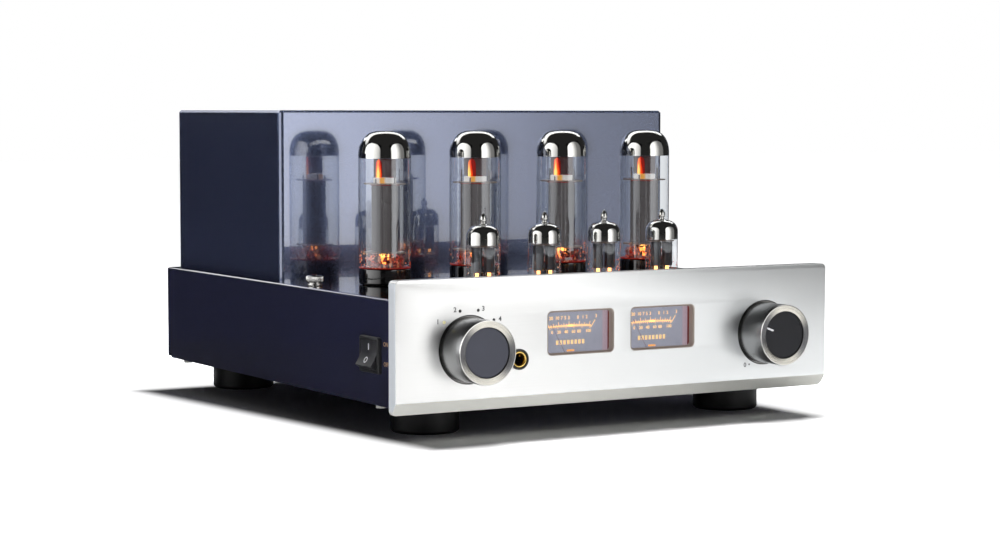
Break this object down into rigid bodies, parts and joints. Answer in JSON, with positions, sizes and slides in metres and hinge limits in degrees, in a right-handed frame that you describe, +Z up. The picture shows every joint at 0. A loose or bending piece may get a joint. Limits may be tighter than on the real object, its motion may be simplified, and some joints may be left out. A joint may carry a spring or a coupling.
{
  "type": "tube integrated amplifier",
  "caption": "Table-top audio amplifier with glass tubes on a gloss deck, a transformer cover behind them and a thick metal front with two knobs and two lit needle meters.",
  "frame": {"origin": "on the floor under the middle of the object's box, a few millimetres from the middle of the case, because the knobs and the rear sockets stand out", "axes": "+Z up; the front panel faces -Y, and +X is to the right as seen from the front"},
  "size_m": [0.3147, 0.3836, 0.1915],
  "materials": {
    "panel_silver": "fine brushed, satin",
    "knob_metal": "turned, polished edge",
    "case_navy": "satin",
    "cover_navy": "gloss metallic",
    "deck_black": "gloss",
    "foot_black": "satin",
    "zinc_steel": "zinc plated",
    "bright_metal": "polished",
    "gold": "gold plated",
    "tube_glass": "clear",
    "pane_clear": "clear",
    "tube_black": "carbonised, matt",
    "tube_grey": "satin",
    "black_plastic": "satin",
    "ceramic": "satin",
    "board_green": "lacquered",
    "dial_grey": "backlit",
    "needle_red": "satin",
    "core_steel": "lacquered laminations",
    "coil_wrap": "wrapped",
    "inlay_grey": "satin",
    "inlay_navy": "satin",
    "marker_black": "gloss"
  },
  "bodies": {
    "case": {"bottom_plate": "case_navy", "case_screws": "zinc_steel", "chassis_shell": "case_navy", "driver_tube_sockets": "ceramic", "feet": "foot_black", "front_panel": "panel_silver", "headphone_jack": "gold", "input_jacks": "gold", "main_board": "board_green", "mains_inlet": "black_plastic", "meter_cases": "black_plastic", "meter_dials": "dial_grey", "meter_windows": "pane_clear", "power_switch_housing": "black_plastic", "power_tube_sockets": "ceramic", "selector_switch": "zinc_steel", "source_lamps": "marker_black", "speaker_posts": "gold", "top_plate": "deck_black", "transformer_coils": "coil_wrap", "transformer_cores": "core_steel", "transformer_cover": "cover_navy", "volume_control": "zinc_steel"},
    "selector": {"selector_knob": "knob_metal", "selector_inlay": "inlay_grey", "selector_shaft": "bright_metal"},
    "volume": {"volume_knob": "knob_metal", "volume_inlay": "inlay_navy", "volume_shaft": "bright_metal"},
    "rocker": {"power_rocker": "black_plastic"},
    "needle_left": {"meter_needle_left": "needle_red"},
    "needle_right": {"meter_needle_right": "needle_red"},
    "thumbscrew": {"thumbscrew": "bright_metal"},
    "power_tube_1": {"power_tube_1_base": "black_plastic", "power_tube_1_glass": "tube_glass", "power_tube_1_electrodes": "tube_black"},
    "driver_tube_1": {"driver_tube_1_glass": "tube_glass", "driver_tube_1_electrodes": "tube_grey"},
    "post_cap_1": {"speaker_post_cap_1": "gold"},
    "power_tube_2": {"power_tube_2_base": "black_plastic", "power_tube_2_glass": "tube_glass", "power_tube_2_electrodes": "tube_black"},
    "driver_tube_2": {"driver_tube_2_glass": "tube_glass", "driver_tube_2_electrodes": "tube_grey"},
    "post_cap_2": {"speaker_post_cap_2": "gold"},
    "power_tube_3": {"power_tube_3_base": "black_plastic", "power_tube_3_glass": "tube_glass", "power_tube_3_electrodes": "tube_black"},
    "driver_tube_3": {"driver_tube_3_glass": "tube_glass", "driver_tube_3_electrodes": "tube_grey"},
    "post_cap_3": {"speaker_post_cap_3": "gold"},
    "power_tube_4": {"power_tube_4_base": "black_plastic", "power_tube_4_glass": "tube_glass", "power_tube_4_electrodes": "tube_black"},
    "driver_tube_4": {"driver_tube_4_glass": "tube_glass", "driver_tube_4_electrodes": "tube_grey"},
    "post_cap_4": {"speaker_post_cap_4": "gold"}
  },
  "joints": [
    {"name": "selector_turn", "type": "hinge", "parent": "case", "child": "selector", "pos_m": [-0.107, -0.18, 0.0527], "axis": [0, 1, 0], "range_deg": [0, 90]},
    {"name": "volume_turn", "type": "hinge", "parent": "case", "child": "volume", "pos_m": [0.107, -0.18, 0.0527], "axis": [0, 1, 0], "range_deg": [-80, 220]},
    {"name": "power_rock", "type": "hinge", "parent": "case", "child": "rocker", "pos_m": [-0.1522, -0.13565, 0.0493], "axis": [0, 1, 0], "range_deg": [-28, 0]},
    {"name": "needle_left_swing", "type": "hinge", "parent": "case", "child": "needle_left", "pos_m": [-0.0297, -0.1591, 0.038], "axis": [0, 1, 0], "range_deg": [0, 58], "stiffness_Nm_per_rad": 0.000004},
    {"name": "needle_right_swing", "type": "hinge", "parent": "case", "child": "needle_right", "pos_m": [0.0297, -0.1591, 0.038], "axis": [0, 1, 0], "range_deg": [0, 58], "stiffness_Nm_per_rad": 0.000004},
    {"name": "thumbscrew_lift", "type": "slide", "parent": "case", "child": "thumbscrew", "axis": [0, 0, 1], "range_m": [0, 0.012]},
    {"name": "power_tube_1_pull", "type": "slide", "parent": "case", "child": "power_tube_1", "axis": [0, 0, 1], "range_m": [0, 0.03]},
    {"name": "power_tube_2_pull", "type": "slide", "parent": "case", "child": "power_tube_2", "axis": [0, 0, 1], "range_m": [0, 0.03]},
    {"name": "power_tube_3_pull", "type": "slide", "parent": "case", "child": "power_tube_3", "axis": [0, 0, 1], "range_m": [0, 0.03]},
    {"name": "power_tube_4_pull", "type": "slide", "parent": "case", "child": "power_tube_4", "axis": [0, 0, 1], "range_m": [0, 0.03]},
    {"name": "driver_tube_1_pull", "type": "slide", "parent": "case", "child": "driver_tube_1", "axis": [0, 0, 1], "range_m": [0, 0.025]},
    {"name": "driver_tube_2_pull", "type": "slide", "parent": "case", "child": "driver_tube_2", "axis": [0, 0, 1], "range_m": [0, 0.025]},
    {"name": "driver_tube_3_pull", "type": "slide", "parent": "case", "child": "driver_tube_3", "axis": [0, 0, 1], "range_m": [0, 0.025]},
    {"name": "driver_tube_4_pull", "type": "slide", "parent": "case", "child": "driver_tube_4", "axis": [0, 0, 1], "range_m": [0, 0.025]},
    {"name": "post_cap_1_undo", "type": "slide", "parent": "case", "child": "post_cap_1", "axis": [0, 1, 0], "range_m": [0, 0.006]},
    {"name": "post_cap_2_undo", "type": "slide", "parent": "case", "child": "post_cap_2", "axis": [0, 1, 0], "range_m": [0, 0.006]},
    {"name": "post_cap_3_undo", "type": "slide", "parent": "case", "child": "post_cap_3", "axis": [0, 1, 0], "range_m": [0, 0.006]},
    {"name": "post_cap_4_undo", "type": "slide", "parent": "case", "child": "post_cap_4", "axis": [0, 1, 0], "range_m": [0, 0.006]}
  ]
}
